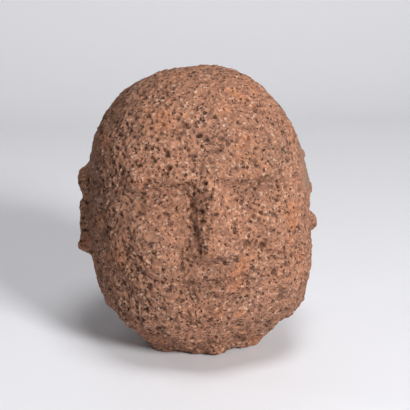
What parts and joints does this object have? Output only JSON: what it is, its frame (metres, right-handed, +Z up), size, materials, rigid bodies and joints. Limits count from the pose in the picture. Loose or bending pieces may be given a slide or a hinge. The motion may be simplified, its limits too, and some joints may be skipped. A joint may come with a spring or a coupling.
{
  "type": "carved stone head",
  "caption": "Worn carved stone head, bald and egg-shaped, with flat ear flaps, standing on the broken stub of its neck.",
  "frame": {"origin": "on the resting face, the level break under the neck, below the middle of the head", "axes": "+Z up from the resting face to the crown, -Y the way the face looks, +X to a viewer's right when they face it"},
  "size_m": [0.2421, 0.2431, 0.2767],
  "materials": {
    "weathered_stone": "matte"
  },
  "bodies": {
    "root": {"stone_head": "weathered_stone"}
  },
  "joints": []
}
